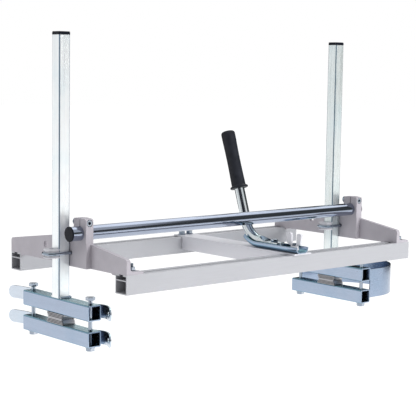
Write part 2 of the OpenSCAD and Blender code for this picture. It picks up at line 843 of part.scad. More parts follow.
// Handle tube: leaning stem, bend under the push bar, flattened tongue
module handle_tube() {
    stem = grip_start + grip_len - 12;
    flat_start = handle_y - 22;
    flat_w = cradle_w - 2 * cradle_t - 5;
    flat_t = 5;
    tip_y = handle_bolt_y() - 25;
    neck = 0.3;
    color([0.78, 0.80, 0.82]) difference() {
        union() {
            translate([handle_x, handle_y, bend_z]) rotate([bend_turn, 0, 0])
                rotate([0, 90, 0]) mirror([0, 1, 0]) {
                    rotate_extrude(angle = bend_turn, $fn = 96) translate([handle_bend, 0])
                        tube_ring();
                    translate([handle_bend, 0, 0]) rotate([90, 0, 0])
                        linear_extrude(stem) tube_ring();
                }
            hull() {
                translate([handle_x, handle_y + 1, tube_z]) rotate([90, 0, 0])
                    cylinder(r = handle_d / 2 - neck, h = 4, $fn = 32);
                translate([handle_x - flat_w / 2, flat_start, tube_z - flat_t / 2])
                    cube([flat_w, 1, flat_t]);
            }
            translate([handle_x - flat_w / 2, tip_y + flat_w / 2, tube_z - flat_t / 2])
                cube([flat_w, flat_start - tip_y - flat_w / 2 + 0.5, flat_t]);
            translate([handle_x, tip_y + flat_w / 2, tube_z - flat_t / 2])
                cylinder(d = flat_w, h = flat_t);
        }
        translate([handle_x, handle_bolt_y(), tube_z - 10]) cylinder(d = m8 + 2 * bolt_gap, h = 20);
    }
}

// Section of the handle tube
module tube_ring() {
    difference() {
        circle(d = handle_d);
        circle(d = handle_d - 2 * handle_wall);
    }
}

// Half section of the grip: flange below, waisted body, rounded closed top
module grip_section() {
    r = grip_d / 2;
    hole = handle_d / 2 + slide_gap;
    flange_r = r + 4.2;
    crown = 6;
    waist = 0.8;
    polygon(concat(
        [[hole, 0], [flange_r - 1, 0], [flange_r, 1], [flange_r, 3.4], [flange_r - 1, 4.4]],
        arc(r + 3, 7.4, 3, 270, 180, 5),
        [for (i = [0 : 12]) [r - waist * sin(15 * i), 12 + (grip_len - 12 - 3 * crown) * i / 12]],
        arc(r - crown, grip_len - crown, crown, 0, 90, 8),
        [[0, grip_len], [0, grip_len - 7], [hole, grip_len - 7]]));
}

module handle_grip() {
    color([0.14, 0.14, 0.16]) translate([handle_x, handle_y, bend_z]) rotate([bend_turn, 0, 0])
        translate([0, grip_start, -handle_bend]) rotate([-90, 0, 0])
            rotate_extrude($fn = 64) grip_section();
}

// Bolt that holds the tongue to the cradle, the strap and the channel
module handle_bolt() {
    head_z = tube_z + 2.5 + seat;
    bottom = strap_z - cross_t - m8_h - bolt_end;
    color([0.62, 0.64, 0.66]) translate([handle_x, handle_bolt_y(), 0]) {
        translate([0, 0, head_z]) intersection() {
            cylinder(d = m8_af / cos(30), h = 5.3, $fn = 6);
            cylinder(d1 = 22, d2 = m8_af * 0.98, h = 5.32);
        }
        translate([0, 0, bottom]) cylinder(d = m8, h = head_z - bottom + eps);
    }
}

module handle_spacer() {
    z0 = strap_top + cradle_t + seat;
    color([0.66, 0.68, 0.70]) translate([handle_x, handle_bolt_y(), z0])
        washer(m8, floor_flat + seat, tube_z - 2.5 - z0 - seat);
}

module handle_nut() {
    color([0.60, 0.62, 0.64]) translate([handle_x, handle_bolt_y(), strap_z - cross_t - m8_h - seat])
        nut(m8, m8_af, m8_h - seat);
}

module wing_bolt() {
    color([0.62, 0.64, 0.66]) translate([handle_x, slot_y, 0])
        t_bolt(m10, wing_z() + 17);
}

// Height of the wing nut's foot
function wing_z() = strap_top + cradle_t + seat;

// Wing nut with a round hub and two upright wings that clear the cradle
module wing_nut() {
    hub_d = 19;
    hub_h = 12;
    foot_h = 3;
    reach = 21;
    wing_low = cradle_h - cradle_t + 1.5;
    wing_top = 38;
    wing_t = 6;
    wing_w = 13;
    round_r = 4;
    color([0.82, 0.82, 0.80]) translate([handle_x, slot_y, wing_z()]) difference() {
        union() {
            cylinder(d1 = floor_flat - 1, d2 = hub_d, h = foot_h);
            translate([0, 0, foot_h]) cylinder(d1 = hub_d, d2 = hub_d - 3, h = hub_h - foot_h);
            for (s = [0, 1]) mirror([0, s, 0]) along_x(-wing_t / 2, wing_t)
                polygon(concat(
                    [[4, 3], [hub_d / 2 - 1, 3], [hub_d / 2 - 1, wing_low], [reach - 2, wing_low + 4]],
                    arc(reach - round_r, wing_top - round_r, round_r, 0, 90, 5),
                    arc(reach - wing_w + round_r, wing_top - round_r, round_r, 90, 180, 5),
                    [[reach - wing_w, hub_h + 4], [4, hub_h - 1]]));
        }
        translate([0, 0, -1]) cylinder(d = m10 + 2 * slide_gap, h = wing_top + 5);
    }
}

module on_right() {
    translate([right_x, 0, 0]) children();
}

place() rail(0);  // front_rail
place() rail(rear_y);  // rear_rail
place() push_bar();
place() push_bar_caps();
place() bracket();  // left_bracket
place() foot_bolts();  // left_foot_bolts
place() foot_washers();  // left_foot_washers
place() foot_nuts();  // left_foot_nuts
place() bar_screw();  // left_bar_screw
place() bar_nut();  // left_bar_nut
place() u_bolt();  // left_u_bolt
place() saddle();  // left_saddle
place() u_bolt_washers();  // left_u_bolt_washers
place() u_bolt_nuts();  // left_u_bolt_nuts
place() on_right() bracket();  // right_bracket
place() on_right() foot_bolts();  // right_foot_bolts
place() on_right() foot_washers();  // right_foot_washers
place() on_right() foot_nuts();  // right_foot_nuts
place() on_right() bar_screw();  // right_bar_screw
place() on_right() bar_nut();  // right_bar_nut
place() on_right() u_bolt();  // right_u_bolt
place() on_right() saddle();  // right_saddle
place() on_right() u_bolt_washers();  // right_u_bolt_washers
place() on_right() u_bolt_nuts();  // right_u_bolt_nuts
place() post();  // left_post
place() post_cap();  // left_post_cap
place() weld();  // left_weld
place() jaw(upper_z);  // left_upper_jaw
place() upper_pad();  // left_upper_pad
place() shoe(upper_z);  // left_upper_shoe
place() jaw(lower_z);  // left_lower_jaw
place() lower_pad();  // left_lower_pad
place() shoe(lower_z);  // left_lower_shoe
place() jaw_bolts();  // left_jaw_bolts
place() jaw_washers();  // left_jaw_washers
place() jaw_nuts();  // left_jaw_nuts
place() on_right() post();  // right_post
place() on_right() post_cap();  // right_post_cap
place() on_right() weld();  // right_weld
place() on_right() jaw(upper_z);  // right_upper_jaw
place() on_right() upper_pad();  // right_upper_pad
place() on_right() nose_guard();
place() on_right() jaw(lower_z);  // right_lower_jaw
place() on_right() lower_pad();  // right_lower_pad
place() on_right() jaw_bolts();  // right_jaw_bolts
place() on_right() jaw_washers();  // right_jaw_washers
place() on_right() jaw_nuts();  // right_jaw_nuts
place() cross_channel();
place() cross_strap();
place() cross_bolts();
place() cross_washers();
place() cross_nuts();
place() handle_cradle();
place() handle_tube();
place() handle_grip();
place() handle_bolt();
place() handle_spacer();
place() handle_nut();
place() wing_bolt();
place() wing_nut();
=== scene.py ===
"""Looks of the chainsaw mill: finishes, threaded fasteners, weld beads, light and camera."""

import json
import math

import bmesh
import bpy
from mathutils import Matrix, Vector


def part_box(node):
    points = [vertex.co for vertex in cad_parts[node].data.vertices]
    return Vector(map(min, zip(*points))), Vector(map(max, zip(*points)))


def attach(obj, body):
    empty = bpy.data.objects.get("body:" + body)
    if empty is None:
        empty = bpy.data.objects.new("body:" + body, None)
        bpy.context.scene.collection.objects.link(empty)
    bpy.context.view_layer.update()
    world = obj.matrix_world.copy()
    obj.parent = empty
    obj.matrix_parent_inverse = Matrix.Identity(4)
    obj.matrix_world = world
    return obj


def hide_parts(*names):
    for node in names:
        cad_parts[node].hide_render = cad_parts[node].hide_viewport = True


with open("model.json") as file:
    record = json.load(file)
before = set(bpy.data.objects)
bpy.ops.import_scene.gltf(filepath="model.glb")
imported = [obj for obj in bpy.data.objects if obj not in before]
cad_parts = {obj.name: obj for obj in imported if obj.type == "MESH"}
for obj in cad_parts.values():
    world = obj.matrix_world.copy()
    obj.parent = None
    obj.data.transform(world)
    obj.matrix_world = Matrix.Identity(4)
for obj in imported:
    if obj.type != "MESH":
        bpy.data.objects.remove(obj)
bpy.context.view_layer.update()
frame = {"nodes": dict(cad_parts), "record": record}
NODES = frame["nodes"]
BODY_OF = {n: b for b, names in frame["record"]["behaviour"]["bodies"].items() for n in names}
SLOT_OF = {s["node"]: s["material_slot"] for s in frame["record"]["subparts"]}

# The photograph's camera, in degrees, millimetres and metres
CAMERA_AZIMUTH = 41.373
CAMERA_PITCH = 6.192
CAMERA_ROLL = 0.858
CAMERA_LENS = 107.24
CAMERA_SENSOR = 36
CAMERA_PLACE = Vector((-1.78388, -1.96888, 0.52252))

# How far a post and a lower jaw slide down, in metres
POST_TRAVEL = 0.36
JAW_TRAVEL = 0.0079

# Radius and pitch of each thread, in metres
M6_R, M6_PITCH = 0.003, 0.001
M8_R, M8_PITCH = 0.004, 0.00125
M10_R, M10_PITCH = 0.005, 0.0015

# From the middle of an M8 nut to its flats and to its corners, in metres
NUT_TO_FLAT = 0.0065
NUT_TO_CORNER = 0.0075

# How far a shank and a thread run into what they join, in metres
LAP = 0.0003
THREAD_LAP = 0.0002

# Points round each kind of turned shape, and rows of points in one turn of a thread
THREAD_SIDES = 20
ROWS_PER_TURN = 5
ROD_SIDES = 20
SHANK_SIDES = 32
HEAD_SIDES = 36

# Rounded edge of the CAD pieces, in metres, by material slot
EDGE_WIDTH = {
    "rail": 0.0003,
    "casting": 0.0009,
    "bar": 0.0004,
    "cap": 0.0005,
    "tube_zinc": 0.0004,
    "jaw_zinc": 0.0004,
    "strip_zinc": 0.0004,
    "pad_steel": 0.0002,
    "fastener": 0.00025,
    "cross_alloy": 0.0004,
    "grip_rubber": 0.0004,
}

UP = Vector((0, 0, 1))
ALONG_X = Vector((1, 0, 0))
WHITE = (1.0, 1.0, 1.0)
EVENLY = (1, 1, 1)


# Shader helpers

def new_material(name, colour, metallic, roughness):
    """A material with a principled shader; returns (material, node tree, shader)."""
    mat = bpy.data.materials.new(name)
    mat.use_nodes = True
    tree = mat.node_tree
    shader = tree.nodes["Principled BSDF"]
    shader.inputs["Base Color"].default_value = (*colour, 1)
    shader.inputs["Metallic"].default_value = metallic
    shader.inputs["Roughness"].default_value = roughness
    return mat, tree, shader


def stretched_noise(tree, stretch, scale, detail=4.0, rough=0.6):
    """Noise in the object's own metres, squeezed along the axes by the given factors."""
    coords = tree.nodes.new("ShaderNodeTexCoord")
    mapping = tree.nodes.new("ShaderNodeMapping")
    mapping.inputs["Scale"].default_value = stretch
    noise = tree.nodes.new("ShaderNodeTexNoise")
    noise.inputs["Scale"].default_value = scale
    noise.inputs["Detail"].default_value = detail
    noise.inputs["Roughness"].default_value = rough
    tree.links.new(coords.outputs["Object"], mapping.inputs["Vector"])
    tree.links.new(mapping.outputs["Vector"], noise.inputs["Vector"])
    return noise.outputs["Fac"]


def ramp(tree, value, stops):
    """A colour ramp over value; stops are (position, colour)."""
    node = tree.nodes.new("ShaderNodeValToRGB")
    elements = node.color_ramp.elements
    while len(elements) < len(stops):
        elements.new(0.5)
    for element, (position, colour) in zip(elements, stops):
        element.position = position
        element.color = (*colour, 1)
    tree.links.new(value, node.inputs["Fac"])
    return node.outputs["Color"]


def spread(tree, value, low, high, start=0.3, end=0.7):
    """Maps value from start..end to low..high."""
    node = tree.nodes.new("ShaderNodeMapRange")
    node.inputs["From Min"].default_value = start
    node.inputs["From Max"].default_value = end
    node.inputs["To Min"].default_value = low
    node.inputs["To Max"].default_value = high
    tree.links.new(value, node.inputs["Value"])
    return node.outputs["Result"]


def mix_colours(tree, factor, first, second, mode="MIX"):
    """Mixes two colour outputs; factor is an output or a number."""
    node = tree.nodes.new("ShaderNodeMix")
    node.data_type = "RGBA"
    node.blend_type = mode
    if isinstance(factor, float):
        node.inputs["Factor"].default_value = factor
    else:
        tree.links.new(factor, node.inputs["Factor"])
    tree.links.new(first, node.inputs["A"])
    tree.links.new(second, node.inputs["B"])
    return node.outputs["Result"]


def calculate(tree, operation, *values):
    """A math node over outputs."""
    node = tree.nodes.new("ShaderNodeMath")
    node.operation = operation
    for socket, value in zip(node.inputs, values):
        tree.links.new(value, socket)
    return node.outputs["Value"]


def split_axes(tree, coordinates):
    """The X, Y and Z outputs of one kind of texture coordinates."""
    coords = tree.nodes.new("ShaderNodeTexCoord")
    split = tree.nodes.new("ShaderNodeSeparateXYZ")
    tree.links.new(coords.outputs[coordinates], split.inputs["Vector"])
    return [split.outputs[axis] for axis in "XYZ"]


def corner_mask(tree):
    """1 on rounded corners, 0 on faces square to an axis of the object."""
    x, y, z = split_axes(tree, "Normal")
    xy, yz, xz = (calculate(tree, "ABSOLUTE", calculate(tree, "MULTIPLY", a, b))
                  for a, b in ((x, y), (y, z), (x, z)))
    total = calculate(tree, "ADD", xy, calculate(tree, "ADD", yz, xz))
    return spread(tree, total, 0.0, 1.0, start=0.05, end=0.32)


def shade(colour, factor):
    """The colour made darker or lighter."""
    return tuple(min(1.0, channel * factor) for channel in colour)


def shades(tree, value, colour, darkest, lightest, start=0.3, end=0.7):
    """A colour output that runs between two shades of colour with value."""
    return ramp(tree, value, [(start, shade(colour, darkest)), (end, shade(colour, lightest))])


def set_colour(tree, shader, output):
    tree.links.new(output, shader.inputs["Base Color"])


def set_roughness(tree, shader, value, low, high):
    """Roughness that runs from low to high with value."""
    tree.links.new(spread(tree, value, low, high), shader.inputs["Roughness"])


def add_bump(tree, shader, height, distance, strength):
    """Bump of a real height in metres."""
    node = tree.nodes.new("ShaderNodeBump")
    node.inputs["Strength"].default_value = strength
    node.inputs["Distance"].default_value = distance
    tree.links.new(height, node.inputs["Height"])
    tree.links.new(node.outputs["Normal"], shader.inputs["Normal"])


# Finishes

def extrusion_finish():
    """Mill-finish aluminium with fine die lines along X."""
    colour = (0.42, 0.425, 0.45)
    mat, tree, shader = new_material("extruded_aluminium", colour, 0.45, 0.4)
    lines = stretched_noise(tree, (0.6, 90, 90), 28.0)
    cloud = stretched_noise(tree, EVENLY, 9.0, 3.0)
    set_colour(tree, shader, shades(tree, lines, colour, 0.95, 1.05, 0.25, 0.75))
    set_roughness(tree, shader, cloud, 0.36, 0.46)
    add_bump(tree, shader, lines, 0.00002, 0.5)
    return mat


def casting_finish():
    """Blasted aluminium casting with a fine sandy skin."""
    colour = (0.39, 0.37, 0.405)
    mat, tree, shader = new_material("cast_aluminium", colour, 0.3, 0.5)
    sand = stretched_noise(tree, EVENLY, 1500.0, 3.0)
    cloud = stretched_noise(tree, EVENLY, 22.0)
    set_colour(tree, shader, shades(tree, cloud, colour, 0.93, 1.07))
    set_roughness(tree, shader, sand, 0.42, 0.6)
    add_bump(tree, shader, sand, 0.00012, 0.5)
    return mat


def chrome_finish():
    """Polished chrome with faint rub marks round the bar."""
    colour = (0.33, 0.37, 0.46)
    mat, tree, shader = new_material("chrome_plate", colour, 1.0, 0.08)
    rubs = stretched_noise(tree, (260, 3, 3), 4.0, 5.0)
    cloud = stretched_noise(tree, EVENLY, 14.0, 3.0)
    set_colour(tree, shader, shades(tree, cloud, colour, 0.96, 1.04))
    set_roughness(tree, shader, rubs, 0.05, 0.12)
    return mat


def zinc_finish(name, side, top, stretch, rough=(0.16, 0.28), metallic=1.0, edge=None, depth=0.05):
    """Zinc plate: drawn streaks, one colour on the sides, a second colour on the top that is painted
    reflection and shade, and a tint on the rounded edges that is painted shade.
    """
    mat, tree, shader = new_material(name, side, metallic, 0.25)
    streaks = stretched_noise(tree, stretch, 22.0, rough=0.55)
    cloud = stretched_noise(tree, EVENLY, 16.0)
    sides, painted_top_shades = (shades(tree, streaks, colour, 1 - depth, 1 + depth, 0.3, 0.72) for colour in (side, top))
    # Painted reflection and shade: faces that point upward take the top colour instead of the side colour.
    painted_top_mask = spread(tree, split_axes(tree, "Normal")[2], 0.0, 1.0, start=0.4, end=0.9)
    plating_with_painted_light = mix_colours(tree, painted_top_mask, sides, painted_top_shades)
    clouding = ramp(tree, cloud, [(0.3, (0.90, 0.95, 0.97)), (0.55, WHITE), (0.75, (0.97, 0.95, 0.95))])
    plating_with_painted_light = mix_colours(tree, 1.0, plating_with_painted_light, clouding, "MULTIPLY")
    # Painted shade: the rounded corners are tinted darker by the edge colour.
    if edge:
        painted_edge_shade = ramp(tree, corner_mask(tree), [(0.0, WHITE), (1.0, edge)])
        plating_with_painted_light = mix_colours(tree, 1.0, plating_with_painted_light, painted_edge_shade, "MULTIPLY")
    set_colour(tree, shader, plating_with_painted_light)
    set_roughness(tree, shader, streaks, *rough)
    add_bump(tree, shader, streaks, 0.00002, 0.15)
    return mat


def plastic_finish():
    """Moulded black plastic."""
    colour = (0.005, 0.006, 0.010)
    mat, tree, shader = new_material("black_plastic", colour, 0.0, 0.34)
    shader.inputs["Specular IOR Level"].default_value = 0.12
    grain = stretched_noise(tree, EVENLY, 2200.0, 2.0)
    set_colour(tree, shader, shades(tree, grain, colour, 0.8, 1.4))
    set_roughness(tree, shader, grain, 0.28, 0.44)
    add_bump(tree, shader, grain, 0.00005, 0.35)
    return mat


def grip_finish():
    """Soft black rubber with a dusty sheen."""
    colour = (0.009, 0.010, 0.014)
    mat, tree, shader = new_material("grip_rubber", colour, 0.0, 0.45)
    shader.inputs["Specular IOR Level"].default_value = 0.22
    grain = stretched_noise(tree, EVENLY, 1400.0, 3.0)
    dust = stretched_noise(tree, EVENLY, 60.0)
    set_colour(tree, shader, shades(tree, dust, colour, 0.85, 1.6, 0.35, 0.7))
    set_roughness(tree, shader, dust, 0.38, 0.56)
    add_bump(tree, shader, grain, 0.0001, 0.45)
    return mat


def satin_alloy_finish():
    """Satin aluminium of the cross member, brushed along Y."""
    colour = (0.62, 0.62, 0.66)
    mat, tree, shader = new_material("satin_aluminium", colour, 0.45, 0.42)
    lines = stretched_noise(tree, (110, 0.8, 110), 24.0)
    set_colour(tree, shader, shades(tree, lines, colour, 0.95, 1.05, 0.25, 0.75))
    set_roughness(tree, shader, lines, 0.36, 0.48)
    add_bump(tree, shader, lines, 0.00002, 0.5)
    return mat


def steel_finish():
    """Machined steel of the finned pads, with painted shade between the fins."""
    colour = (0.40, 0.40, 0.42)
    mat, tree, shader = new_material("machined_steel", colour, 0.9, 0.35)
    lines = stretched_noise(tree, (1, 60, 1), 60.0)
    # Painted shade: ambient occlusion darkens the colour in the gaps between the fins.
    hollow = tree.nodes.new("ShaderNodeAmbientOcclusion")
    hollow.samples = 8
    hollow.inputs["Distance"].default_value = 0.006
    machined = shades(tree, lines, colour, 0.9, 1.2)
    painted_recess_shade = ramp(tree, hollow.outputs["AO"], [(0.35, (0.16, 0.14, 0.14)), (0.8, WHITE)])
    set_colour(tree, shader, mix_colours(tree, 1.0, machined, painted_recess_shade, "MULTIPLY"))
    set_roughness(tree, shader, lines, 0.28, 0.45)
    return mat


# In each zinc finish below, the second colour is painted reflection and shade on the tops, and edge= is
# painted shade on the rounded corners.
FINISHES = {
    "rail": extrusion_finish(),
    "casting": casting_finish(),
    "bar": chrome_finish(),
    "cap": plastic_finish(),
    "tube_zinc": zinc_finish("bright_zinc", (0.93, 0.97, 0.985), (0.82, 0.90, 0.92), (7, 7, 0.25),
                             rough=(0.26, 0.38), metallic=0.72, edge=(0.26, 0.33, 0.42)),
    "jaw_zinc": zinc_finish("blue_zinc", (0.38, 0.45, 0.57), (0.42, 0.62, 0.66), (6, 0.4, 6),
                            edge=(0.62, 0.80, 0.84)),
    "strip_zinc": zinc_finish("strip_zinc", (0.34, 0.415, 0.54), (0.42, 0.58, 0.66), (1.2, 1.2, 6)),
    "pad_steel": steel_finish(),
    "fastener": zinc_finish("fastener_zinc", (0.44, 0.48, 0.54), (0.55, 0.59, 0.62), (3, 3, 3),
                            rough=(0.1, 0.2), edge=(0.72, 0.76, 0.80)),
    "cross_alloy": satin_alloy_finish(),
    "grip_rubber": grip_finish(),
}

# Pieces whose plating looks unlike the rest of their slot
SHOE_ZINC = zinc_finish("shoe_zinc", (0.62, 0.68, 0.76), (0.58, 0.72, 0.76), (1.2, 1.2, 6))
OWN_FINISH = {
    "left_upper_shoe": SHOE_ZINC,
    "left_lower_shoe": SHOE_ZINC,
    "handle_tube": zinc_finish("handle_zinc", (0.74, 0.77, 0.78), (0.60, 0.72, 0.75), (5, 5, 1),
                               rough=(0.08, 0.18)),
    "right_post": zinc_finish("mottled_zinc", (0.84, 0.90, 0.89), (0.78, 0.88, 0.88), (9, 9, 0.5),
                              rough=(0.24, 0.34), metallic=0.8, edge=(0.26, 0.33, 0.40), depth=0.12),
}


# The CAD pieces: their finishes and softened edges

def soften(obj, width):
    """Joins the import's split corners and rounds the edges a little."""
    weld = obj.modifiers.new("weld", "WELD")
    weld.merge_threshold = 0.000004
    bevel = obj.modifiers.new("edge", "BEVEL")
    bevel.width = width
    bevel.segments = 2
    bevel.limit_method = "ANGLE"
    bevel.angle_limit = math.radians(32)
    bevel.use_clamp_overlap = True
    obj.data.shade_smooth()
    normals = obj.modifiers.new("normals", "WEIGHTED_NORMAL")
    normals.keep_sharp = False
    normals.weight = 80


for node_name, node_object in NODES.items():
    for material_slot in node_object.material_slots:
        material_slot.material = OWN_FINISH.get(node_name, FINISHES[SLOT_OF[node_name]])
    soften(node_object, EDGE_WIDTH[SLOT_OF[node_name]])


# Mesh helpers for the detailed pieces

def box_of(node):
    """The low corner, the high corner and the middle of a CAD node's box."""
    low, high = (Vector(corner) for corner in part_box(node))
    return low, high, (low + high) / 2


def add_piece(name, build, node, smooth_angle=35):
    """A piece made by build(bmesh) that stands for a CAD node, with its finish and on its body."""
    mesh = bpy.data.meshes.new(name)
    shape = bmesh.new()
    build(shape)
    bmesh.ops.recalc_face_normals(shape, faces=shape.faces)
    shape.to_mesh(mesh)
    shape.free()
    obj = bpy.data.objects.new(name, mesh)
    bpy.context.scene.collection.objects.link(obj)
    mesh.materials.append(FINISHES[SLOT_OF[node]])
    mesh.shade_smooth()
    mesh.set_sharp_from_angle(angle=math.radians(smooth_angle))
    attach(obj, BODY_OF[node])
    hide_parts(node)


def loft(shape, rings):
    """Closed skin over rings of points, capped at both ends."""
    loops = [[shape.verts.new(point) for point in ring] for ring in rings]
    for lower, upper in zip(loops, loops[1:]):
        for i in range(len(lower)):
            j = (i + 1) % len(lower)
            shape.faces.new((lower[i], lower[j], upper[j], upper[i]))
    shape.faces.new(loops[0][::-1])
    shape.faces.new(loops[-1])


def frame_along(axis):
    """The axis as a unit vector, with two unit vectors square to it and to each other."""
    axis = Vector(axis).normalized()
    side = axis.orthogonal().normalized()
    return axis, side, axis.cross(side)


def around(centre, side, across, radii):
    """Points round centre, one for each radius, turning evenly from side towards across."""
    points = []
    for i, radius in enumerate(radii):
        angle = 2 * math.pi * i / len(radii)
        points.append(centre + (side * math.cos(angle) + across * math.sin(angle)) * radius)
    return points


def hexagon_reach(angle, to_flat):
    """How far a hexagon reaches from its middle at an angle from the middle of a flat."""
    return to_flat / math.cos((angle + math.pi / 6) % (math.pi / 3) - math.pi / 6)


def revolve(shape, base, axis, profile):
    """Closed solid of (radius, height) points turned about the axis through base."""
    axis, side, across = frame_along(axis)
    loft(shape, [around(Vector(base) + axis * height, side, across, [radius] * SHANK_SIDES)
                 for radius, height in profile])


def thread(shape, base, axis, length, radius, pitch):
    """Threaded rod from base along axis, with a chamfered far end."""
    axis, side, across = frame_along(axis)
    depth = 0.55 * pitch
    chamfer = 0.8 * depth + 0.0002
    flank = 1.25
    rows = round(length / pitch * ROWS_PER_TURN)
    rings = []
    for row in range(rows + 1):
        height = length * row / rows
        limit = radius - max(0.0, height - (length - chamfer))
        radii = []
        for i in range(THREAD_SIDES):
            phase = (height / pitch - i / THREAD_SIDES) % 1.0
            radii.append(min(limit, radius - depth * min(1.0, abs(2 * phase - 1) * flank)))
        rings.append(around(Vector(base) + axis * height, side, across, radii))
    loft(shape, rings)


def hexagon_head(shape, base, axis, flat_axis, across_flats, height):
    """Hexagon head from base along axis, with a flat towards flat_axis and a round chamfered crown."""
    crown = 0.48 * across_flats
    dish = 0.62 * crown
    slope = math.tan(math.radians(30))
    spokes = []
    for i in range(HEAD_SIDES):
        angle = 2 * math.pi * i / HEAD_SIDES
        outward = flat_axis * math.cos(angle) + axis.cross(flat_axis) * math.sin(angle)
        reach = hexagon_reach(angle, across_flats / 2)
        profile = [(0.97 * reach, 0.0), (reach, 0.0004), (reach, height - (reach - crown) * slope),
                   (crown, height), (dish, height - 0.0003)]
        spokes.append([Vector(base) + axis * rise + outward * radius for radius, rise in profile])
    loft(shape, list(zip(*spokes)))


# Jaw bolts: hexagon heads, plain shanks, threaded lower ends

def jaw_bolts(end):
    node = end + "_jaw_bolts"
    low, high, centre = box_of(node)
    across_flats = 0.016
    head_height = 0.0065
    threaded = 0.034
    shank_length = high.z - low.z - head_height - threaded + 2 * LAP
    shank_profile = [(M8_R - 0.0006, 0), (M8_R, 0.0008), (M8_R, shank_length)]
    shank_start = low.z + threaded - 0.0005

    def build(shape):
        for y in (low.y + across_flats / 2, high.y - across_flats / 2):
            thread(shape, (centre.x, y, low.z + threaded), -UP, threaded, M8_R, M8_PITCH)
            revolve(shape, (centre.x, y, shank_start), UP, shank_profile)
            hexagon_head(shape, (centre.x, y, high.z - head_height), UP, ALONG_X, across_flats, head_height)

    add_piece(end + "_jaw_bolt_pair", build, node)


# T-bolts: a flat head in the rail's channel and a threaded stud through the slot

def t_bolts(name, node, places, radius, pitch):
    """One T-bolt at each (x, y); the heads and tops come from the node's box."""
    low, high, _ = box_of(node)
    half_x = 0.0065
    half_y = 0.011
    head_height = 0.0055
    cut = 0.0006
    head_rows = [(0, cut), (cut, 0), (head_height - cut, 0), (head_height, cut)]
    stud_length = high.z - low.z - head_height + THREAD_LAP

    def build(shape):
        for x, y in places:
            loft(shape, [[Vector((x + sx * (half_x - inset), y + sy * (half_y - inset), low.z + rise))
                          for sx, sy in ((-1, -1), (1, -1), (1, 1), (-1, 1))] for rise, inset in head_rows])
            thread(shape, (x, y, low.z + head_height - THREAD_LAP), UP, stud_length, radius, pitch)

    add_piece(name, build, node, smooth_angle=40)


def foot_t_bolts(end):
    """The T-bolts of a bracket's feet, through the middles of their nuts."""
    low, high, centre = box_of(end + "_foot_nuts")
    t_bolts(end + "_foot_t_bolts", end + "_foot_bolts",
            [(centre.x, low.y + NUT_TO_FLAT), (centre.x, high.y - NUT_TO_FLAT)], M8_R, M8_PITCH)


def cross_t_bolts():
    """The T-bolts of the cross member at the rear rail, and the one under the wing nut."""
    low, high, centre = box_of("cross_nuts")
    t_bolts("cross_t_bolts", "cross_bolts",
            [(low.x + NUT_TO_CORNER, centre.y), (high.x - NUT_TO_CORNER, centre.y)], M8_R, M8_PITCH)
    wing = box_of("wing_bolt")[2]
    t_bolts("wing_t_bolt", "wing_bolt", [(wing.x, wing.y)], M10_R, M10_PITCH)


# U-bolts: threaded legs and a smooth round bend

def u_bolt(end):
    node = end + "_u_bolt"
    low, high, centre = box_of(node)
    reach = (high.y - low.y) / 2 - M6_R
    bend_x = low.x + reach + M6_R
    bend_steps = 28
    threaded = 0.027
    plain_end = high.x - threaded

    path = [(Vector((plain_end, centre.y + reach, centre.z)), -ALONG_X)]
    for i in range(bend_steps + 1):
        angle = math.pi * i / bend_steps
        place = Vector((bend_x - reach * math.sin(angle), centre.y + reach * math.cos(angle), centre.z))
        path.append((place, Vector((-math.cos(angle), -math.sin(angle), 0))))
    path.append((Vector((plain_end, centre.y - reach, centre.z)), ALONG_X))

    def build(shape):
        loft(shape, [around(place, along.cross(UP), UP, [M6_R] * ROD_SIDES) for place, along in path])
        for leg in (-1, 1):
            thread(shape, (plain_end - THREAD_LAP, centre.y + leg * reach, centre.z), ALONG_X,
                   threaded + THREAD_LAP, M6_R, M6_PITCH)

    add_piece(end + "_u_bolt_rod", build, node)


# Cap screws across the towers: knurled round heads with a hexagon socket

def bar_screw(end):
    node = end + "_bar_screw"
    low, high, centre = box_of(node)
    head_r = (high.x - low.x) / 2
    head_height = 0.008
    socket_r = 0.0034
    socket_depth = 0.0045
    knurls = 36
    groove = 0.00022
    threaded = 0.022
    shank_length = high.y - low.y - head_height - threaded + 2 * LAP
    front = Vector((centre.x, low.y, centre.z))
    back, side, across = frame_along((0, 1, 0))

    def knurled(height, deep):
        """Ring of the head, with every other point set in."""
        return around(front + back * height, side, across, [head_r, head_r - deep] * knurls)

    def socket(height, radius):
        """Ring of the socket; the radius is to its corners."""
        to_flat = radius * math.cos(math.pi / 6)
        radii = [hexagon_reach(math.pi * i / knurls, to_flat) for i in range(2 * knurls)]
        return around(front + back * height, side, across, radii)

    def build(shape):
        loft(shape, [
            socket(socket_depth, socket_r), socket(0.0004, socket_r), socket(0.0, socket_r + 0.0004),
            knurled(0.0, 0.0011), knurled(0.0004, 0.0007), knurled(0.001, groove),
            knurled(head_height - 0.0005, groove), knurled(head_height, 0.0006)])
        revolve(shape, front + back * (head_height - LAP), back, [(M8_R, 0), (M8_R, shank_length)])
        thread(shape, (centre.x, high.y - threaded, centre.z), back, threaded, M8_R, M8_PITCH)

    add_piece(end + "_bar_cap_screw", build, node)


# Handle bolt: hexagon head, shank and threaded end under the channel

def handle_bolt():
    node = "handle_bolt"
    low, high, centre = box_of(node)
    across_flats = 0.013
    head_height = 0.0053
    threaded = 0.016
    shank_length = high.z - low.z - head_height - threaded + 2 * LAP
    head_base = (centre.x, centre.y, high.z - head_height)

    def build(shape):
        hexagon_head(shape, head_base, UP, ALONG_X, across_flats, head_height)
        revolve(shape, (centre.x, centre.y, low.z + threaded - LAP), UP, [(M8_R, 0), (M8_R, shank_length)])
        thread(shape, (centre.x, centre.y, low.z + threaded), -UP, threaded, M8_R, M8_PITCH)

    add_piece("handle_hex_bolt", build, node)


# Weld beads: overlapping ripples round three sides of a post's foot

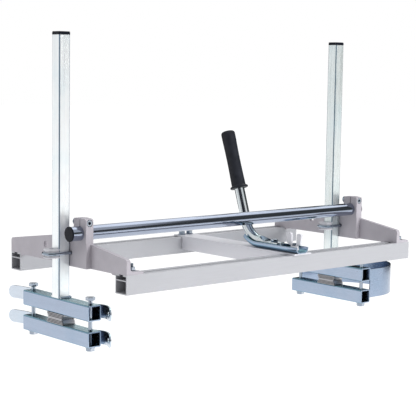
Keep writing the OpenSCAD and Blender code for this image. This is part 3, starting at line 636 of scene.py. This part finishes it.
def rounded_path(outline, corner, step):
    """(place, direction) along an open outline of points, about a step apart, with rounded corners."""
    corner_steps = 8
    last = len(outline) - 2
    spots = []
    for i, (a, b) in enumerate(zip(outline, outline[1:])):
        along = (b - a).normalized()
        start = a + along * (corner if i else 0)
        stop = b - along * (corner if i < last else 0)
        count = round((stop - start).length / step)
        spots += [(start.lerp(stop, k / count), along) for k in range(count + 1)]
        if i < last:
            turned = (outline[i + 2] - b).normalized()
            centre = stop + turned * corner
            for k in range(1, corner_steps):
                t = math.pi / 2 * k / corner_steps
                place = centre - turned * corner * math.cos(t) + along * corner * math.sin(t)
                spots.append((place, along * math.cos(t) + turned * math.sin(t)))
    return spots


def weld_bead(end):
    node = end + "_weld"
    low, high, _ = box_of(node)
    leg = 0.004
    ripple = 0.0022
    ripple_lean = 0.0006
    sides = 12
    x0, x1 = low.x, high.x - leg / 2
    y0, y1 = low.y + leg / 2, high.y - leg / 2
    outline = [Vector((x, y, low.z)) for x, y in ((x0, y0), (x1, y0), (x1, y1), (x0, y1))]
    path = rounded_path(outline, corner=0.003, step=0.0005)

    def ring(place, along, phase):
        """Section of the bead: it swells and leans with the phase of its ripple."""
        swell = 0.86 + 0.14 * math.sin(math.pi * phase) ** 0.6
        outward = along.cross(UP)
        lean = along * (ripple_lean * (phase - 0.5))
        points = []
        for k in range(sides):
            t = 2 * math.pi * k / sides
            wide = leg * 0.56 * swell * math.cos(t)
            tall = leg * 0.5 * swell * (math.sin(t) * 0.92 + 0.9)
            out = wide - tall * 0.28 + 0.0005
            points.append(place + outward * out + UP * max(0.0, tall) + lean * math.sin(t))
        return points

    def build(shape):
        rings = []
        travelled = 0.0
        before = path[0][0]
        for place, along in path:
            travelled += (place - before).length
            before = place
            rings.append(ring(place, along, (travelled / ripple) % 1.0))
        loft(shape, rings)

    add_piece(end + "_weld_bead", build, node, smooth_angle=60)


for side_name in ("left", "right"):
    jaw_bolts(side_name)
    u_bolt(side_name)
    bar_screw(side_name)
    weld_bead(side_name)
    foot_t_bolts(side_name)
handle_bolt()
cross_t_bolts()


# Studio

def studio_world():
    """White for the camera; for the rest a pale dome with a dark flag low in front on the right."""
    world = bpy.data.worlds.new("studio")
    bpy.context.scene.world = world
    world.use_nodes = True
    tree = world.node_tree
    tree.nodes.clear()
    x, y, z = split_axes(tree, "Generated")
    dome = ramp(tree, spread(tree, z, 0.0, 1.0, start=-1.0, end=1.0), [
        (0.0, (0.80, 0.81, 0.83)), (0.5, (0.84, 0.85, 0.87)), (0.62, (0.93, 0.94, 0.96)), (1.0, WHITE)])
    squares = [calculate(tree, "MULTIPLY", axis, axis) for axis in (x, y)]
    rightward = calculate(tree, "DIVIDE", x, calculate(tree, "SQRT", calculate(tree, "ADD", *squares)))
    flag_top = spread(tree, rightward, 0.22, 0.69, start=0.50, end=0.85)
    under_top = spread(tree, calculate(tree, "SUBTRACT", flag_top, z), 0.0, 1.0, start=-0.02, end=0.03)
    in_front = spread(tree, y, 1.0, 0.0, start=-0.35, end=-0.2)
    on_right = spread(tree, rightward, 0.0, 1.0, start=0.34, end=0.45)
    flag = calculate(tree, "MULTIPLY", calculate(tree, "MULTIPLY", under_top, in_front), on_right)
    dark = ramp(tree, z, [(0.0, (0.10, 0.105, 0.10)), (1.0, (0.12, 0.125, 0.12))])
    light = tree.nodes.new("ShaderNodeBackground")
    light.inputs["Strength"].default_value = 0.82
    tree.links.new(mix_colours(tree, flag, dome, dark), light.inputs["Color"])
    white = tree.nodes.new("ShaderNodeBackground")
    white.inputs["Color"].default_value = (*WHITE, 1)
    white.inputs["Strength"].default_value = 1.0
    path = tree.nodes.new("ShaderNodeLightPath")
    choose = tree.nodes.new("ShaderNodeMixShader")
    output = tree.nodes.new("ShaderNodeOutputWorld")
    tree.links.new(path.outputs["Is Camera Ray"], choose.inputs["Fac"])
    tree.links.new(light.outputs["Background"], choose.inputs[1])
    tree.links.new(white.outputs["Background"], choose.inputs[2])
    tree.links.new(choose.outputs["Shader"], output.inputs["Surface"])


def floor():
    """Plain white floor that glows, just below the lowest reach of the posts and the lower jaws."""
    gap = 0.002
    place = (0, 0, -(POST_TRAVEL + JAW_TRAVEL) - gap)
    bpy.ops.mesh.primitive_circle_add(vertices=64, radius=30, fill_type="NGON", location=place)
    disc = bpy.context.object
    disc.name = "floor"
    mat, _, shader = new_material("floor_white", (0.30, 0.30, 0.30), 0.0, 0.9)
    shader.inputs["Specular IOR Level"].default_value = 0.1
    shader.inputs["Emission Color"].default_value = (*WHITE, 1)
    shader.inputs["Emission Strength"].default_value = 0.80
    disc.data.materials.append(mat)


def dark_card(name, place, width, turn):
    """Upright dark card that only reflections see: it draws the thin dark lines on round edges."""
    height = 0.75
    bpy.ops.mesh.primitive_plane_add(size=1, location=(*place, height / 2))
    card = bpy.context.object
    card.name = name
    card.scale = (width, height, 1)
    card.rotation_euler = (math.radians(90), 0, math.radians(turn))
    mat, _, shader = new_material(name, (0.02, 0.022, 0.03), 0.0, 0.9)
    shader.inputs["Specular IOR Level"].default_value = 0.0
    card.data.materials.append(mat)
    card.visible_camera = False
    card.visible_shadow = False
    card.visible_diffuse = False


def soft_light(name, place, size, watts, mirrored=False):
    """Rectangular lamp aimed at the mill; reflections show it only where mirrored."""
    target = Vector((0, 0, 0.2))
    data = bpy.data.lights.new(name, "AREA")
    data.shape = "RECTANGLE"
    data.size, data.size_y = size
    data.energy = watts
    lamp = bpy.data.objects.new(name, data)
    bpy.context.scene.collection.objects.link(lamp)
    lamp.location = place
    lamp.rotation_euler = (target - Vector(place)).to_track_quat("-Z", "Y").to_euler()
    lamp.visible_glossy = mirrored


def photo_camera():
    """The fitted camera: forward is turned from +Y towards +X, tipped down and rolled."""
    azimuth, pitch, roll = (math.radians(a) for a in (CAMERA_AZIMUTH, CAMERA_PITCH, CAMERA_ROLL))
    forward = Vector((math.sin(azimuth) * math.cos(pitch), math.cos(azimuth) * math.cos(pitch),
                      -math.sin(pitch)))
    level = Vector((math.cos(azimuth), -math.sin(azimuth), 0))
    upright = level.cross(forward)
    right = level * math.cos(roll) + upright * math.sin(roll)
    up = upright * math.cos(roll) - level * math.sin(roll)
    data = bpy.data.cameras.new("photo")
    data.lens = CAMERA_LENS
    data.sensor_width = CAMERA_SENSOR
    data.clip_end = 100
    camera = bpy.data.objects.new("photo", data)
    bpy.context.scene.collection.objects.link(camera)
    axes = Matrix((right, up, -forward)).transposed().to_4x4()
    camera.matrix_world = Matrix.Translation(CAMERA_PLACE) @ axes
    bpy.context.scene.camera = camera


studio_world()
floor()
dark_card("card_front", (-0.53, -0.60), 1.2, -CAMERA_AZIMUTH)
dark_card("card_right", (0.90, 0.18), 1.1, 90)
dark_card("card_back", (-0.10, 1.20), 0.9, 0)
soft_light("key", (0.9, -2.4, 1.5), size=(1.8, 1.4), watts=105)
soft_light("side", (-2.6, 0.8, 1.3), size=(1.4, 1.4), watts=9)
soft_light("top", (1.9, 0.5, 2.6), size=(2.4, 1.6), watts=12, mirrored=True)
photo_camera()
bpy.context.scene.view_settings.view_transform = "Standard"
